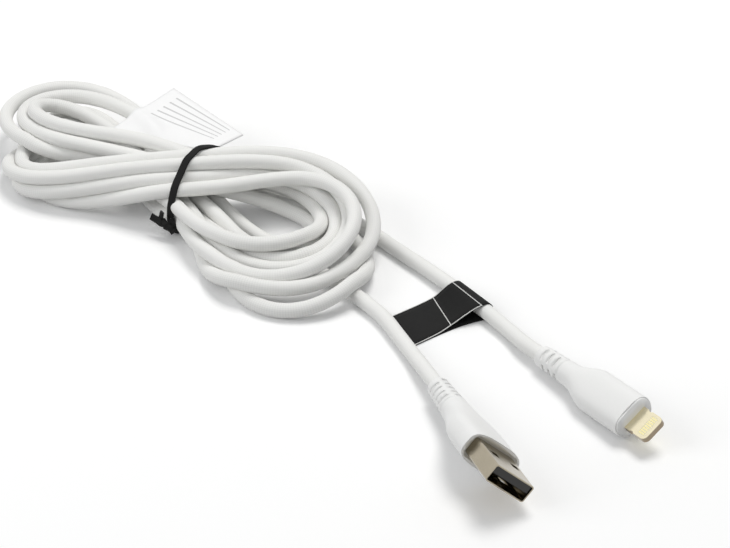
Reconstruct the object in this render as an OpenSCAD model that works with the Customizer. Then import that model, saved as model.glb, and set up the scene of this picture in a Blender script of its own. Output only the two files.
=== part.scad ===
// Charging cable: a type-A plug and a slim reversible phone plug on one braided cord.
// The cord is folded into a hank and held by a twist tie; a flag tag and a paper label hang on it.
// Millimetres, +Z up, the floor is Z = 0, +X runs along the hank towards the plugs.

/* [Cord] */
// Outside diameter of the braided cord
cord_d = 3.8; // [3.2:0.1:4.2]
// Diameter of one insulated core inside the cord
core_d = 0.9; // [0.7:0.05:1]

/* [Hank] */
// Height of the folded hank at the tie
hank_h = 19.8; // [16:0.2:23]
// Width of the hank where the tie pinches it
waist_w = 21; // [18:0.5:24]
// Height of the loops at the hank's ends
loop_h = 14; // [10:0.5:16]

/* [Type-A plug shell] */
// Outside width of the steel shell
a_shell_w = 12; // [11.5:0.1:12.5]
// Outside height of the steel shell
a_shell_h = 4.5; // [4.2:0.1:4.8]
// Sheet thickness of the shell
a_shell_t = 0.3; // [0.2:0.05:0.4]
// Length of shell that stands out of the grip
a_shell_out = 11.8; // [11:0.1:13]
// Length of shell held inside the grip
a_shell_in = 6.8; // [5.5:0.1:7.5]
// Width of one latch window
a_window_w = 2.3; // [1.8:0.1:2.6]
// Length of one latch window
a_window_l = 2; // [1.5:0.1:2.4]
// Distance from the shell's mouth to a window's middle
a_window_back = 6.9; // [5.5:0.1:7.5]
// Distance between the middles of the two windows
a_window_pitch = 6.4; // [5.5:0.1:7]

/* [Type-A plug inside] */
// Thickness of the contact tongue
a_tongue_t = 1.9; // [1.7:0.05:2.1]
// Length of the solid block behind the tongue
a_block_l = 6; // [4:0.5:6.5]
// Width of one contact strip
a_contact_w = 1.1; // [0.9:0.05:1.3]
// Thickness of one contact strip
a_contact_t = 0.25; // [0.15:0.05:0.3]

/* [Type-A plug grip] */
// Length of the grip
a_body_l = 23; // [21.5:0.5:28]
// Width of the grip at its rim
a_rim_w = 15.6; // [14.4:0.1:17]
// Height of the grip at its rim
a_rim_h = 7.9; // [7.2:0.1:9]
// Diameter of the grip where it meets the boot
a_neck_d = 6.7; // [6.3:0.1:7.2]
// Length of the strain relief boot
a_boot_l = 11.1; // [10.8:0.1:14]
// Diameter of the boot at its cord end
a_boot_d = 5.4; // [5:0.1:6]
// Number of flex slots along the top of the boot
a_slots = 5; // [3:1:5]

/* [Phone plug tab] */
// Width of the metal tab
p_tab_w = 6.7; // [6.5:0.05:6.9]
// Thickness of the metal tab
p_tab_t = 1.5; // [1.4:0.05:1.7]
// Length of tab in front of the collar
p_tab_out = 6.9; // [6.5:0.1:7.5]
// Length of tab held inside the grip
p_tab_in = 4; // [3:0.5:5]
// Corner radius of the tab's tip
p_tab_r = 1.3; // [0.8:0.1:1.6]
// Width of the contact window
p_window_w = 5.3; // [5.2:0.05:5.5]
// Length of the contact window
p_window_l = 2.2; // [1.9:0.1:2.6]
// Distance from the tip to the contact window
p_window_back = 1; // [0.8:0.1:1.4]
// Number of contacts on each face
p_contacts = 8; // [8:1:8]

/* [Phone plug inside] */
// Length of the circuit board
p_board_l = 11; // [9:0.5:12]
// Width of the circuit board
p_board_w = 5.4; // [5:0.1:5.6]
// Thickness of the circuit board
p_board_t = 0.7; // [0.5:0.05:0.8]
// Width of the shield can
p_can_w = 7.6; // [7.2:0.1:8]
// Height of the shield can
p_can_h = 4; // [3.6:0.1:4.4]

/* [Phone plug grip] */
// Length of the grip
p_body_l = 24.5; // [23:0.5:30]
// Width of the grip at its front
p_rim_w = 10.9; // [10.2:0.1:12]
// Height of the grip at its front
p_rim_h = 7.3; // [6.8:0.1:8]
// Length of the raised collar round the tab
p_collar_l = 0.9; // [0.6:0.1:1.2]
// Diameter of the grip where it meets the boot
p_neck_d = 6.1; // [5.9:0.1:6.6]
// Length of the strain relief boot
p_boot_l = 9.3; // [9:0.1:13]
// Diameter of the boot at its cord end
p_boot_d = 5.4; // [5:0.1:5.8]
// Number of flex slots along the top of the boot
p_slots = 3; // [2:1:3]

/* [Tie, tag and label] */
// Width of the twist tie's ribbon
tie_w = 2; // [1.5:0.1:3]
// Thickness of the ribbon
tie_t = 0.6; // [0.5:0.05:0.8]
// Length of the flag tag from the cord to its end
tag_l = 25; // [18:0.5:30]
// Width of the flag tag along the cord
tag_w = 12.6; // [9:0.2:15]
// Thickness of the folded tag
tag_t = 0.4; // [0.2:0.05:0.6]
// Length of the paper label along the cord
label_l = 30; // [24:0.5:34]
// Depth of the paper label
label_d = 25; // [20:0.5:26]
// Thickness of the folded paper label
label_t = 0.3; // [0.2:0.05:0.5]

/* [Hidden] */

// Shared small sizes
cord_r = cord_d / 2;
core_gap = 0.2;            // space between neighbouring cores in the cord
core_off = (core_d + core_gap) / 2;
bore_play = 0.05;          // the cord's radial room in a boot
crimp_t = 0.35;
crimp_l = 3.5;
spigot_l = 3;              // boot length held inside a grip
spigot_wall = 0.7;
slot_w = 0.6;
slot_floor = 0.35;         // wall left between a slot and the cord
rib_w = 1.2;               // solid rib between two rows of slots
boot_edge = 0.8;           // radius of a boot's rear edge
round_fn = 48;
fit = 0.02;                // keeps touching faces of two pieces apart

// Type-A plug along its own axis, from the cord end of the boot
a_rim_x = a_boot_l + a_body_l;
a_tip_x = a_rim_x + a_shell_out;
a_shell_x = a_rim_x - a_shell_in;
a_jacket_end = a_boot_l + spigot_l + crimp_l;
a_inner_w = a_shell_w - 2 * a_shell_t;
a_inner_h = a_shell_h - 2 * a_shell_t;
a_corner_r = 0.7;
a_contact_z = a_inner_h / 2 - a_tongue_t;
a_tail_l = 2.2;            // solder tail behind the block
a_tail_x = a_shell_x - a_tail_l;
a_contact_y = [-3.5, -1, 1, 3.5];
a_mould = [a_shell_w - 1.4, a_shell_h + 0.9];
a_mould_neck = [6.2, 4.4];
a_mould_step_x = a_shell_x - 6;
a_mouth_back = 0.3;        // the tongue's front stands this far inside the mouth
a_recess_l = 0.8;          // the grip's face is sunk round the shell by this much
a_recess_gap = 0.7;        // and this far out from the shell

// Phone plug along its own axis
p_rim_x = p_boot_l + p_body_l;
p_face_x = p_rim_x + p_collar_l;
p_tip_x = p_face_x + p_tab_out;
p_root_x = p_face_x - p_tab_in - p_collar_l;
p_jacket_end = p_boot_l + spigot_l + crimp_l;
p_board_in = 2.5;          // board length inside the tab's slot
p_board_x = p_root_x + p_board_in - p_board_l;
p_can_t = 0.2;
p_can_x = p_board_x - 0.6;
p_can_l = p_root_x - p_can_x;
p_pitch = 0.63;
p_pad_w = 0.4;
p_pad_t = 0.12;
p_pad_margin = 0.25;
p_window_x = p_tip_x - p_window_back - p_window_l;
p_core_y = [-1.8, -0.6, 0.6, 1.8];
p_collar_in = 0.45;        // the collar steps in from the grip's edge

function ease(t) = let (u = min(max(t, 0), 1)) u * u * (3 - 2 * u);
function mix(a, b, t) = a + (b - a) * t;

// Each grip: rear end, length, neck, rim width and height, where along it the swelling
// starts and ends, and how square the rim is (2 is an ellipse)
a_grip = [a_boot_l, a_body_l, a_neck_d, a_rim_w, a_rim_h, [0, 0.7], 3.2];
p_grip = [p_boot_l, p_body_l, p_neck_d, p_rim_w, p_rim_h, [0.1, 0.44], 2.6];
grip_steps = 12;

// A grip's section at a share of its length: place, width, height, squareness
function grip_at(g, t) = let (e = ease((t - g[5][0]) / (g[5][1] - g[5][0])))
  [g[0] + g[1] * t, mix(g[2], g[3], e), mix(g[2], g[4], e), mix(2, g[6], e)];

// How the plugs lie on the floor: cord end of each boot, heading, roll and nose-up tilt
a_place = [51.46, -26.32];
a_heading = -46;
a_roll = -43;
a_tilt = 5.5;
p_place = [68.44, -3.15];
p_heading = -30;
p_roll = 30;
p_tilt = 3.3;

// Height of a plug's rear end when its rolled-over grip rests on the floor
function rolled_half(s, roll) = let (q = s[3] / (s[3] - 1))
  pow(pow(s[1] / 2 * abs(sin(roll)), q) + pow(s[2] / 2 * cos(roll), q), 1 / q);
function rest_z(g, roll, tilt) = max([for (i = [0 : grip_steps])
  let (s = grip_at(g, i / grip_steps)) rolled_half(s, roll) * cos(tilt) - s[0] * sin(tilt)]);
a_rear_z = rest_z(a_grip, a_roll, a_tilt);
p_rear_z = rest_z(p_grip, p_roll, p_tilt);

// A point on a plug's axis, in the room
function on_axis(place, z, heading, tilt, x) =
  [place[0] + x * cos(tilt) * cos(heading), place[1] + x * cos(tilt) * sin(heading), z + x * sin(tilt)];
function a_axis(x) = on_axis(a_place, a_rear_z, a_heading, a_tilt, x);
function p_axis(x) = on_axis(p_place, p_rear_z, p_heading, p_tilt, x);

// The cord's free routes, from the hank to the plugs
tag_lift = cord_r + tag_t;
a_route = [
  [12.5, 5, cord_r], [19, 2, cord_r], [26, -2, cord_r], [33, -8, cord_r],
  [40, -14.5, cord_r + 0.3], a_axis(-6.4), a_axis(-2.4), a_axis(a_jacket_end)
];
p_route = [
  [6, 32.5, cord_r], [13, 29, cord_r], [20, 25.5, cord_r], [28, 21.5, cord_r + 0.1],
  [37, 16.5, tag_lift], [43, 13.2, tag_lift], [49, 9.8, tag_lift],
  [57, 4.8, cord_r + 0.2], p_axis(-5.9), p_axis(-1.9), p_axis(p_jacket_end)
];

// The hank's outline: corner circles as x, y, radius, height
waist = [-40, 21.5];
hank_left = [[-95, 47, 12, loop_h + 1], [-84, 15, 8, loop_h - 2]];
hank_right = [[-8, 34, 12, loop_h + 2], [0, 12, 14, loop_h], [-8, 4, 14, loop_h / 2]];

// The tie's loop round the waist
tie_seat_w = waist_w - 2 * tie_t;
tie_top_r = 7.5;
tie_low_r = 3;
tie_seat_low = tie_t + 0.1;
tie_seat_h = hank_h - tie_t / 2 - tie_seat_low;
tie_core_d = 0.35;

// The tag hangs across the phone tail, the label behind the hank
tag_at = [43, 13.2];
tag_heading = -26;
label_front = [-74.5, 38.3];
label_heading = -24;
label_z = 10.6;

// ---------- shared forms ----------

// A rectangle with round corners
module rounded(w, h, r) {
  square([w - 2 * r, h], center = true);
  square([w, h - 2 * r], center = true);
  for (sx = [-1, 1], sy = [-1, 1])
    translate([sx * (w / 2 - r), sy * (h / 2 - r)]) circle(r, $fn = round_fn);
}

// A rounded bar along X from x0, w across Y and h up Z
module bar(x0, l, w, h, r) {
  translate([x0, 0, 0]) rotate([90, 0, 90]) linear_extrude(l) rounded(w, h, r);
}

// A plain block along X from x0, centred in Y, standing on z0
module block(x0, l, w, z0, h, y0 = 0) {
  translate([x0, y0 - w / 2, z0]) cube([l, w, h]);
}

// A round bar along X
module shaft(x0, l, d) {
  translate([x0, 0, 0]) rotate([0, 90, 0]) cylinder(h = l, d = d, $fn = round_fn);
}

// A straight core from p to q
module rod(p, q, d) {
  v = q - p;
  l = norm(v);
  translate(p) rotate([0, acos(v[2] / l), atan2(v[1], v[0])]) cylinder(h = l, d = d, $fn = 24);
}

// Points on a soft-cornered oval ring, power 2 is an ellipse and more is squarer
function soft_ring(x, w, h, power, n) = [
  for (k = [0 : n - 1])
    let (a = 360 * k / n, c = cos(a), s = sin(a))
    [x, w / 2 * sign(c) * pow(abs(c), 2 / power), h / 2 * sign(s) * pow(abs(s), 2 / power)]
];
// A closed skin over a list of equal rings
module skin(rings) {
  m = len(rings);
  n = len(rings[0]);
  points = [for (ring = rings) for (p = ring) p];
  sides = [for (i = [0 : m - 2]) for (k = [0 : n - 1]) let (j = (k + 1) % n)
    [i * n + k, (i + 1) * n + k, (i + 1) * n + j, i * n + j]];
  caps = [[for (k = [0 : n - 1]) k], [for (k = [n - 1 : -1 : 0]) (m - 1) * n + k]];
  polyhedron(points = points, faces = concat(sides, caps), convexity = 4);
}

// A grip that swells from a round neck to a soft-cornered rim
module grip_form(g) {
  skin([for (i = [0 : grip_steps]) let (s = grip_at(g, i / grip_steps))
    soft_ring(s[0], s[1], s[2], s[3], 32)]);
}

// A cone along X from x0
module cone(x0, l, d0, d1) {
  translate([x0, 0, 0]) rotate([0, 90, 0]) cylinder(h = l, d1 = d0, d2 = d1, $fn = round_fn);
}

// A tapered boot with a rounded rear edge, rows of flex slots on four sides, the side rows
// half a step further on, and a flanged spigot in front
module boot_form(l, d_rear, d_front, slots, first, pitch) {
  edge_step = 30;
  side_room = floor((l - first - pitch / 2 - slot_w) / pitch) + 1;
  difference() {
    union() {
      for (a = [0 : edge_step : 90 - edge_step]) let (b = a + edge_step)
        cone(boot_edge * (1 - cos(a)), boot_edge * (cos(a) - cos(b)),
          d_rear - 2 * boot_edge * (1 - sin(a)), d_rear - 2 * boot_edge * (1 - sin(b)));
      cone(boot_edge, l - boot_edge, d_rear, d_front);
      shaft(l, spigot_l - 1, cord_d + 2 * spigot_wall);
      shaft(l + spigot_l - 1, 1, cord_d + 3 * spigot_wall);
    }
    shaft(-1, l + spigot_l + 2, cord_d + 2 * bore_play);
    for (turn = [0 : 90 : 270]) let (side = turn % 180 / 90)
      for (i = [0 : (side == 0 ? slots : min(slots, side_room)) - 1])
        rotate([turn, 0, 0])
          block(first + (i + side / 2) * pitch - slot_w / 2, slot_w, d_rear - 2 * rib_w,
            cord_r + slot_floor, d_front);
  }
}

// The cord's tube through a list of places
function catmull(p0, p1, p2, p3, t) =
  0.5 * (2 * p1 + (p2 - p0) * t + (2 * p0 - 5 * p1 + 4 * p2 - p3) * t * t
    + (3 * p1 - p0 - 3 * p2 + p3) * t * t * t);
function smoothed(p, n) = concat(
  [for (i = [0 : len(p) - 2]) for (k = [0 : n - 1])
    catmull(p[max(i - 1, 0)], p[i], p[i + 1], p[min(i + 2, len(p) - 1)], k / n)],
  [p[len(p) - 1]]);
function unit(v) = v / norm(v);
module cord_tube(places) {
  sides = 8;
  path = smoothed(places, 2);
  last = len(path) - 1;
  skin([for (i = [0 : last])
    let (ahead = unit(path[min(i + 1, last)] - path[max(i - 1, 0)]),
      side = unit(cross([0, 0, 1], ahead)), up = cross(ahead, side))
    [for (k = [0 : sides - 1]) let (a = 360 * (k + 0.5) / sides)
      path[i] + cord_r * (cos(a) * side + sin(a) * up)]]);
}

// Puts a plug where it lies
module type_a_place() {
  translate([a_place[0], a_place[1], a_rear_z]) rotate([0, 0, a_heading])
    rotate([0, -a_tilt, 0]) rotate([a_roll, 0, 0]) children();
}
module phone_place() {
  translate([p_place[0], p_place[1], p_rear_z]) rotate([0, 0, p_heading])
    rotate([0, -p_tilt, 0]) rotate([p_roll, 0, 0]) children();
}

// The four cores fan out from the cord's end to a row of solder places
function core_start(x, k) = [x, (k < 2 ? -1 : 1) * core_off, (k == 0 || k == 3 ? 1 : -1) * core_off];
module a_core(k) {
  rod(core_start(a_jacket_end, k), [a_tail_x, a_contact_y[k], a_contact_z - a_contact_t / 2], core_d);
}
module p_core(k) {
  rod(core_start(p_jacket_end, k), [p_board_x, p_core_y[k], 0], core_d);
}

// ---------- type-A plug ----------

module a_shell_seam() {
  low = -a_shell_h / 2 - 0.1;
  seam = 0.12;
  lock_y = 1.1;
  lock_x = a_rim_x + a_shell_out * 0.3;
  lock_l = 2.4;
  block(a_shell_x - 1, lock_x - a_shell_x + 1, seam, low, a_shell_t + 0.2);
  block(lock_x, lock_l, seam, low, a_shell_t + 0.2, lock_y);
  block(lock_x + lock_l, a_tip_x - lock_x - lock_l + 1, seam, low, a_shell_t + 0.2);
  for (x = [lock_x, lock_x + lock_l])
    block(x - seam / 2, seam, lock_y + seam, low, a_shell_t + 0.2, lock_y / 2);
}

module type_a_shell() {
  color("gainsboro") type_a_place() difference() {
    bar(a_shell_x, a_shell_in + a_shell_out, a_shell_w, a_shell_h, a_corner_r);
    bar(a_shell_x - 1, a_shell_in + a_shell_out + 2, a_inner_w, a_inner_h, a_corner_r - a_shell_t);
    for (y = [-a_window_pitch / 2, a_window_pitch / 2])
      block(a_tip_x - a_window_back - a_window_l / 2, a_window_l, a_window_w,
        -a_shell_h, 2 * a_shell_h, y);
    a_shell_seam();
  }
}

module a_strip(k, front_back) {
  block(a_tail_x, a_tip_x - front_back - a_tail_x, a_contact_w,
    a_contact_z - a_contact_t, a_contact_t, a_contact_y[k]);
}

module type_a_tongue() {
  color("ivory") type_a_place() difference() {
    union() {
      bar(a_shell_x, a_block_l, a_inner_w - 2 * fit, a_inner_h - 2 * fit, a_corner_r - a_shell_t);
      block(a_shell_x, a_tip_x - a_mouth_back - a_shell_x, a_inner_w - 0.6,
        a_contact_z, a_tongue_t - fit);
    }
    for (k = [0 : 3]) a_strip(k, 0);
  }
}

a_power_back = 1.4;        // the power strips start first, the data strips further in
a_data_back = 2.4;
module type_a_power_contacts() {
  color("gold") type_a_place() for (k = [0, 3]) a_strip(k, a_power_back);
}
module type_a_data_contacts() {
  color("gold") type_a_place() for (k = [1, 2]) a_strip(k, a_data_back);
}

module type_a_red_core() { color("red") type_a_place() a_core(0); }
module type_a_white_core() { color("white") type_a_place() a_core(1); }
module type_a_green_core() { color("green") type_a_place() a_core(2); }
module type_a_black_core() { color("black") type_a_place() a_core(3); }

// The inner mould is narrow where the grip tapers and wide behind the shell
module a_mould_form() {
  bar(a_jacket_end, a_mould_step_x - a_jacket_end + fit, a_mould_neck[0], a_mould_neck[1], 1.2);
  bar(a_mould_step_x, a_shell_x - a_mould_step_x, a_mould[0], a_mould[1], 1.2);
}
module type_a_inner_mould() {
  color("whitesmoke") type_a_place() difference() {
    a_mould_form();
    for (k = [0 : 3]) {
      a_core(k);
      a_strip(k, 0);
    }
  }
}

module crimp_form(x_end) {
  difference() {
    shaft(x_end - crimp_l, crimp_l, cord_d + 2 * crimp_t);
    shaft(x_end - crimp_l - 1, crimp_l + 2, cord_d);
  }
}
module type_a_crimp() { color("silver") type_a_place() crimp_form(a_jacket_end); }

module type_a_grip() {
  color("white") type_a_place() difference() {
    grip_form(a_grip);
    bar(a_shell_x - fit, a_shell_in + 1, a_shell_w, a_shell_h, a_corner_r);
    bar(a_rim_x - a_recess_l, a_recess_l + 1, a_shell_w + 2 * a_recess_gap,
      a_shell_h + 2 * a_recess_gap, a_corner_r + a_recess_gap);
    a_mould_form();
    shaft(a_boot_l - 1, spigot_l, cord_d + 2 * spigot_wall);
    shaft(a_boot_l + spigot_l - 1, 1, cord_d + 3 * spigot_wall);
    shaft(a_boot_l + spigot_l - fit, crimp_l + 2 * fit, cord_d + 2 * crimp_t);
  }
}

module type_a_boot() {
  color("white") type_a_place()
    boot_form(a_boot_l, a_boot_d, a_neck_d - 0.3, a_slots, 1.8, 2.1);
}

// ---------- phone plug ----------

module p_tab_form() {
  square_l = p_tip_x - p_root_x - p_tab_r;
  block(p_root_x, square_l, p_tab_w, -p_tab_t / 2, p_tab_t);
  block(p_root_x, square_l + p_tab_r, p_tab_w - 2 * p_tab_r, -p_tab_t / 2, p_tab_t);
  for (side = [-1, 1])
    translate([p_tip_x - p_tab_r, side * (p_tab_w / 2 - p_tab_r), -p_tab_t / 2])
      cylinder(h = p_tab_t, r = p_tab_r, $fn = round_fn);
}
module phone_tab() {
  detent_r = 0.8;
  detent_depth = 0.3;
  color("wheat") phone_place() difference() {
    p_tab_form();
    block(p_window_x, p_window_l, p_window_w, -p_tab_t, 2 * p_tab_t);
    block(p_root_x - 1, 1 + p_board_in, p_board_w, -p_board_t / 2, p_board_t);
    for (side = [-1, 1])
      translate([p_face_x + p_tab_out * 0.35, side * (p_tab_w / 2 + detent_r - detent_depth), -p_tab_t])
        cylinder(h = 2 * p_tab_t, r = detent_r, $fn = round_fn);
  }
}

module p_pads(face) {
  for (i = [0 : p_contacts - 1])
    block(p_window_x + p_pad_margin, p_window_l - 2 * p_pad_margin, p_pad_w,
      face > 0 ? p_tab_t / 2 - p_pad_t : -p_tab_t / 2, p_pad_t,
      (i - (p_contacts - 1) / 2) * p_pitch);
}
module phone_tab_insulator() {
  color("ivory") phone_place() difference() {
    block(p_window_x, p_window_l, p_window_w, -p_tab_t / 2, p_tab_t);
    p_pads(1);
    p_pads(-1);
  }
}
module phone_contacts_top() { color("gold") phone_place() p_pads(1); }
module phone_contacts_bottom() { color("gold") phone_place() p_pads(-1); }

module phone_board() {
  color("darkgreen") phone_place()
    block(p_board_x, p_board_l, p_board_w, -p_board_t / 2, p_board_t);
}
module phone_chips() {
  chip_h = 0.7;
  color("dimgray") phone_place() {
    block(p_board_x + 2.5, 3, 3, p_board_t / 2, chip_h);
    block(p_board_x + 6.2, 1, 2, p_board_t / 2, chip_h / 2);
    block(p_board_x + 3, 2, 2.4, -p_board_t / 2 - chip_h, chip_h);
  }
}
module p_can_form(play) {
  bar(p_can_x - play, p_can_l + 2 * play, p_can_w, p_can_h, 0.8);
}
module phone_shield_can() {
  color("silver") phone_place() difference() {
    p_can_form(0);
    bar(p_can_x - 1, p_can_l + 2, p_can_w - 2 * p_can_t, p_can_h - 2 * p_can_t, 0.6);
  }
}

module phone_red_core() { color("red") phone_place() p_core(0); }
module phone_white_core() { color("white") phone_place() p_core(1); }
module phone_green_core() { color("green") phone_place() p_core(2); }
module phone_black_core() { color("black") phone_place() p_core(3); }

module p_mould_form() {
  bar(p_jacket_end, p_can_x - p_jacket_end, p_neck_d - 1, p_can_h, 1.2);
}
module phone_inner_mould() {
  color("whitesmoke") phone_place() difference() {
    p_mould_form();
    for (k = [0 : 3]) p_core(k);
  }
}
module phone_crimp() { color("silver") phone_place() crimp_form(p_jacket_end); }

module phone_collar() {
  lip_l = p_collar_l / 3;
  lip_in = p_collar_in + 0.25;
  collar_r = p_rim_h * 0.42 - p_collar_in;
  color("white") phone_place() difference() {
    union() {
      bar(p_rim_x, p_collar_l - lip_l, p_rim_w - 2 * p_collar_in, p_rim_h - 2 * p_collar_in, collar_r);
      bar(p_face_x - lip_l, lip_l, p_rim_w - 2 * lip_in, p_rim_h - 2 * lip_in, collar_r - 0.25);
    }
    block(p_rim_x - 1, p_collar_l + 2, p_tab_w, -p_tab_t / 2, p_tab_t);
  }
}
module phone_grip() {
  color("white") phone_place() difference() {
    grip_form(p_grip);
    block(p_root_x, p_tab_in + 1, p_tab_w, -p_tab_t / 2, p_tab_t);
    p_can_form(fit);
    p_mould_form();
    shaft(p_boot_l - 1, spigot_l, cord_d + 2 * spigot_wall);
    shaft(p_boot_l + spigot_l - 1, 1, cord_d + 3 * spigot_wall);
    shaft(p_boot_l + spigot_l - fit, crimp_l + 2 * fit, cord_d + 2 * crimp_t);
  }
}
module phone_boot() {
  color("white") phone_place()
    boot_form(p_boot_l, p_boot_d, p_neck_d - 0.3, p_slots, 2.6, 2.3);
}

// ---------- cord, tie, tag and label ----------

module type_a_tail() { color("white") cord_tube(a_route); }
module phone_tail() { color("white") cord_tube(p_route); }

module corner_post(c) {
  translate([c[0], c[1], 0]) cylinder(h = c[3], r = c[2], $fn = round_fn);
}
// Two lobes of loops run down from the waist to the hank's ends
module hank_lobes() {
  for (lobe = [hank_left, hank_right])
    hull() {
      corner_post([waist[0], waist[1], waist_w / 2, hank_h]);
      for (c = lobe) corner_post(c);
    }
}
// The section that the tie closes on, round on top and flatter below, grown by some amount
module waist_section(grow) {
  half = tie_seat_w / 2 + grow;
  low_r = tie_low_r + grow;
  top_r = tie_top_r + grow;
  high = tie_seat_h + 2 * grow;
  translate([-half + low_r, 0]) square([2 * (half - low_r), high - top_r]);
  translate([-half + top_r, 0]) square([2 * (half - top_r), high]);
  translate([-half, low_r]) square([2 * half, high - low_r - top_r]);
  for (side = [-1, 1]) {
    translate([side * (half - low_r), low_r]) circle(low_r, $fn = round_fn);
    translate([side * (half - top_r), high - top_r]) circle(top_r, $fn = round_fn);
  }
}
module waist_bar(l, grow) {
  translate([-l / 2, 0, tie_seat_low - grow]) rotate([90, 0, 90])
    linear_extrude(l) waist_section(grow);
}
module hank() {
  color("whitesmoke") difference() {
    hank_lobes();
    translate([waist[0], waist[1], 0]) difference() {
      translate([-tie_w / 2, -waist_w, -1]) cube([tie_w, 2 * waist_w, hank_h + 2]);
      waist_bar(tie_w + 1, 0);
    }
  }
}

module tie_ribbon() {
  color("black") translate([waist[0], waist[1], 0]) difference() {
    waist_bar(tie_w, tie_t);
    waist_bar(tie_w + 1, 0);
    tie_wire_form();
  }
}
module tie_wire_form() {
  difference() {
    waist_bar(tie_core_d, (tie_t + tie_core_d) / 2);
    waist_bar(tie_core_d + 1, (tie_t - tie_core_d) / 2);
  }
}
module tie_wire() { color("silver") translate([waist[0], waist[1], 0]) tie_wire_form(); }

// The ribbon's two ends, twisted round each other, lie against the front of the loop
module tie_twist() {
  twist_l = 5;
  end_l = 5;
  front = -tie_seat_w / 2 - tie_t;
  color("black") translate([waist[0] + 2.4, waist[1] + front, tie_low_r]) rotate([0, -82, 8]) {
    translate([0, -tie_w / 2, -tie_w / 2])
      linear_extrude(twist_l, twist = 540, slices = 36)
        for (side = [-1, 1]) translate([side * tie_t / 2, 0]) square([tie_t, tie_w * 0.8], center = true);
    translate([0, -tie_w / 2, twist_l - tie_w / 2]) for (side = [0, 1])
      rotate([0, 20 + side * 45, 0]) translate([-tie_t / 2, -tie_w / 2, -0.4]) cube([tie_t, tie_w, end_l]);
  }
}

module flag_tag() {
  ring_r = cord_r + tag_t;
  drop = tag_t;
  color("black") translate([tag_at[0], tag_at[1], tag_lift]) rotate([0, 0, tag_heading])
    rotate([90, 0, 90]) translate([0, 0, -tag_w / 2]) linear_extrude(tag_w) difference() {
      union() {
        circle(ring_r, $fn = round_fn);
        polygon([[0, cord_r], [0, ring_r], [-tag_l, ring_r - drop], [-tag_l, cord_r - drop]]);
      }
      circle(cord_r + fit, $fn = round_fn);
    }
}

module paper_label() {
  color("white") difference() {
    translate([label_front[0], label_front[1], label_z]) rotate([0, 0, label_heading])
      cube([label_l, label_d, label_t]);
    hank_lobes();
  }
}

type_a_shell();
type_a_tongue();
type_a_power_contacts();
type_a_data_contacts();
type_a_red_core();
type_a_white_core();
type_a_green_core();
type_a_black_core();
type_a_inner_mould();
type_a_crimp();
type_a_grip();
type_a_boot();
phone_tab();
phone_tab_insulator();
phone_contacts_top();
phone_contacts_bottom();
phone_board();
phone_chips();
phone_shield_can();
phone_red_core();
phone_white_core();
phone_green_core();
phone_black_core();
phone_inner_mould();
phone_crimp();
phone_collar();
phone_grip();
phone_boot();
type_a_tail();
phone_tail();
hank();
tie_ribbon();
tie_wire();
tie_twist();
flag_tag();
paper_label();
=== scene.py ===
import math

import bmesh
import bpy
import numpy as np
from mathutils import Matrix, Vector


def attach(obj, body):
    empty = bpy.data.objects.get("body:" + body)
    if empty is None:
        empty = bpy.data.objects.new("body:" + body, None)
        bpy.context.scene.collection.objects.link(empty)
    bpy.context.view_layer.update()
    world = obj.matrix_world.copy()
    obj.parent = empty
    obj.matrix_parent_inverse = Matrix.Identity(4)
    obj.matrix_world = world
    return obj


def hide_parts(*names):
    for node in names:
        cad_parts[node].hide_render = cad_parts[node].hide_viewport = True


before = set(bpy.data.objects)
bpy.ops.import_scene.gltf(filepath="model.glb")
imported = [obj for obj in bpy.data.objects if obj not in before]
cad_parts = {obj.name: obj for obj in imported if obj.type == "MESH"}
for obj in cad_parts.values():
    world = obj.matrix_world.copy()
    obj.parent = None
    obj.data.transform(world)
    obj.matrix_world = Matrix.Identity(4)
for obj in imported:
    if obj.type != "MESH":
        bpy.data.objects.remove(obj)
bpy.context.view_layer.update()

MM = 0.001


# ---------- The table and the light ----------
# A white table top that runs on past the edges of the view, two large soft lamps and a
# pale room. The camera stands in front, looking down at the cable.

TARGET = Vector((0.013, 0.016, 0.0))
camera = bpy.data.objects.new("camera", bpy.data.cameras.new("camera"))
camera.location = (0.2540, -0.5009, 0.3703)
camera.rotation_euler = (TARGET - camera.location).to_track_quat("-Z", "Y").to_euler()
camera.data.lens = 133.15
camera.data.sensor_width = 36.0
camera.data.clip_start = 0.01
bpy.context.scene.collection.objects.link(camera)
bpy.context.scene.camera = camera
bpy.context.scene.view_settings.view_transform = "Standard"


def new_material(name):
    """A material and its tree, with a Principled shader linked to the output."""
    material = bpy.data.materials.new(name)
    material.use_nodes = True
    tree = material.node_tree
    return material, tree, tree.nodes["Principled BSDF"]


def node(tree, kind, inputs=None, **settings):
    """One shader or geometry node with its settings and its plain input values."""
    made = tree.nodes.new(kind)
    for key, value in settings.items():
        setattr(made, key, value)
    for key, value in (inputs or {}).items():
        made.inputs[key].default_value = value
    return made


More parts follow.
